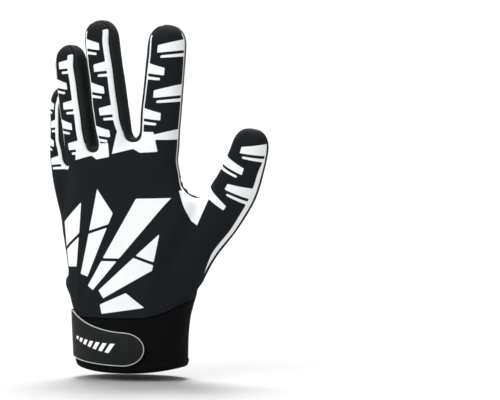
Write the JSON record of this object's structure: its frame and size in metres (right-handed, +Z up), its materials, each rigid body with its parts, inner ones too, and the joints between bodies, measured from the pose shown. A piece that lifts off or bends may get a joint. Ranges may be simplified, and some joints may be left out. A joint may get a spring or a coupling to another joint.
{
  "type": "football glove",
  "caption": "Close-fitting sports glove for a left hand, shown filled, with a printed stretch back, a grip palm and a wrist strap.",
  "frame": {"origin": "middle of the wrist opening, on the plane of the cuff's hem", "axes": "+Z up along the hand from the wrist to the fingertips; the back of the hand faces -Y and the palm +Y; the thumb is on the +X side"},
  "size_m": [0.1582, 0.0584, 0.2351],
  "materials": {
    "stretch_knit": "matt black stretch knit with a bold white print",
    "grip_palm": "smooth black synthetic leather with a tacky half-gloss coating and a pale grey print",
    "neoprene": "matt black laminated neoprene",
    "strap_rubber": "smooth matt black moulded rubber",
    "pale_edging": "thin pale moulded edging"
  },
  "bodies": {
    "root": {"back_panel": "stretch_knit", "palm_panel": "grip_palm", "fourchette_index_middle": "stretch_knit", "fourchette_middle_ring": "stretch_knit", "fourchette_ring_little": "stretch_knit", "cuff_band": "neoprene", "hem_binding": "neoprene", "closure_strap": "strap_rubber", "strap_edging": "pale_edging"}
  },
  "joints": []
}
